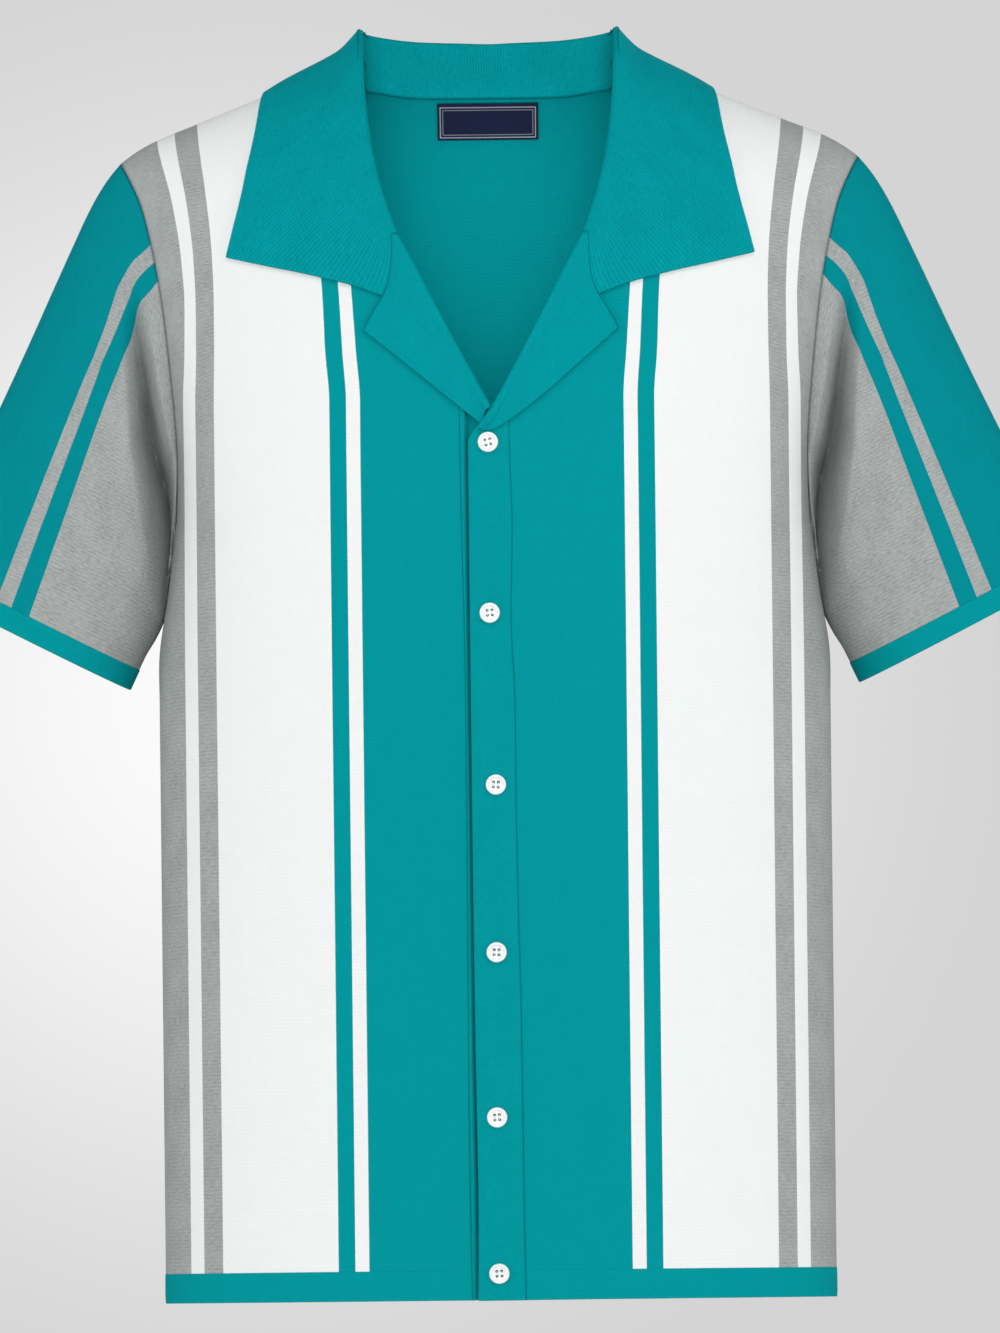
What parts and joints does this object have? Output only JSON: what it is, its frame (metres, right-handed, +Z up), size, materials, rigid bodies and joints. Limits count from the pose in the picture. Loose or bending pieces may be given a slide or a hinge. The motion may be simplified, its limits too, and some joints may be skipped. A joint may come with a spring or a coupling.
{
  "type": "polo shirt",
  "caption": "Short-sleeved knitted polo shirt with a camp collar, notched lapels, a buttoned front placket and vertical stripes, filled out hollow as if worn.",
  "frame": {"origin": "middle of the neck opening, on the wearer's centre line, about 10 mm below the shoulder ridge beside the neck", "axes": "+Z up along the body, the front faces -Y, +X to the right seen from the front (the wearer's left)"},
  "size_m": [0.662, 0.2316, 0.7303],
  "materials": {
    "striped_knit": "fine knitted cotton blend, vertical teal, white and grey stripes, matt",
    "sleeve_knit": "fine knitted cotton blend, teal and grey stripes, matt",
    "teal_knit": "fine knitted cotton blend, teal, matt",
    "teal_rib": "fine rib knit, teal, matt",
    "label_weave": "woven label, navy, slight satin",
    "button": "white resin, polished"
  },
  "bodies": {
    "root": {"back": "striped_knit", "front_left": "striped_knit", "front_right": "striped_knit", "placket_left": "teal_knit", "placket_right": "teal_knit", "lapel_left": "teal_knit", "lapel_right": "teal_knit", "collar": "teal_rib", "sleeve_left": "sleeve_knit", "sleeve_right": "sleeve_knit", "cuff_left": "teal_rib", "cuff_right": "teal_rib", "hem_back": "teal_rib", "hem_left": "teal_rib", "hem_right": "teal_rib", "label": "label_weave", "button_1": "button", "button_2": "button", "button_3": "button", "button_4": "button", "button_5": "button", "button_6": "button"}
  },
  "joints": []
}
